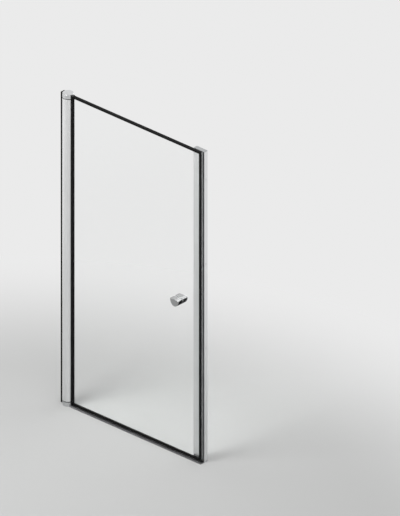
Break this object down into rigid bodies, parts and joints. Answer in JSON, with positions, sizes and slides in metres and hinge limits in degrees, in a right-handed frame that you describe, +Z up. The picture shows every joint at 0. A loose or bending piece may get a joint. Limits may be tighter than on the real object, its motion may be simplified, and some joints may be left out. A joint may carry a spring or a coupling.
{
  "type": "niche pivot shower door",
  "caption": "Niche shower door: a black-trimmed clear glass leaf on a round pivot column that swings outwards, with a through-glass knob, wall jamb and low threshold.",
  "frame": {"origin": "on the floor, halfway between the two walls, in the middle plane of the glass", "axes": "+X from the hinge wall to the closing wall, +Y into the shower, +Z up"},
  "size_m": [1, 0.076, 1.85],
  "materials": {
    "silver_aluminium": "satin anodised silver",
    "black_aluminium": "satin black powder coat",
    "graphite_aluminium": "satin anodised graphite grey",
    "chrome": "polished chrome plate",
    "steel": "bright stainless steel",
    "black_rubber": "matt black extruded rubber",
    "black_plastic": "matt black moulded nylon",
    "grey_plastic": "matt grey moulded plastic",
    "bearing_plastic": "white acetal",
    "clear_plastic": "clear flexible vinyl",
    "magnet": "dark bonded magnet strip",
    "glass": "clear toughened glass"
  },
  "bodies": {
    "frame": {"bottom_bearing_cap": "black_aluminium", "bottom_cap_cover": "silver_aluminium", "bottom_pivot_pin": "steel", "cap_screws": "steel", "closing_cover": "silver_aluminium", "closing_wall_channel": "silver_aluminium", "jamb_bottom_cap": "grey_plastic", "jamb_magnet_seal": "black_rubber", "jamb_screws": "steel", "jamb_top_cap": "grey_plastic", "pin_grub_screws": "steel", "threshold_bar": "graphite_aluminium", "thrust_washers": "bearing_plastic", "top_bearing_cap": "black_aluminium", "top_cap_cover": "silver_aluminium", "top_pivot_pin": "steel", "wall_rail": "black_aluminium", "wall_seal": "black_rubber"},
    "leaf": {"access_hole_plugs": "black_plastic", "bottom_bush": "bearing_plastic", "bottom_end_plug": "black_plastic", "bottom_rail": "black_aluminium", "carrier_end_caps": "black_plastic", "carrier_gasket_inner": "black_rubber", "carrier_gasket_outer": "black_rubber", "carrier_screws": "steel", "closing_edge_seal": "clear_plastic", "closing_edge_trim": "black_aluminium", "end_plug_screws": "steel", "glass_carrier": "black_aluminium", "glass_edge_spacer": "black_rubber", "glass_pane": "glass", "knob_grip_inner": "black_rubber", "knob_grip_outer": "black_rubber", "knob_grub_screws": "steel", "knob_inner": "chrome", "knob_outer": "chrome", "knob_sleeve": "bearing_plastic", "knob_stud": "steel", "knob_washers": "clear_plastic", "leaf_magnet_strip": "magnet", "pivot_column": "silver_aluminium", "rail_end_cap": "black_plastic", "top_bush": "bearing_plastic", "top_edge_trim": "black_aluminium", "top_end_plug": "black_plastic", "wiper_blade": "clear_plastic"}
  },
  "joints": [
    {"name": "door_swing", "type": "hinge", "parent": "frame", "child": "leaf", "pos_m": [-0.46, 0, 0], "axis": [0, 0, -1], "range_deg": [0, 90]}
  ]
}
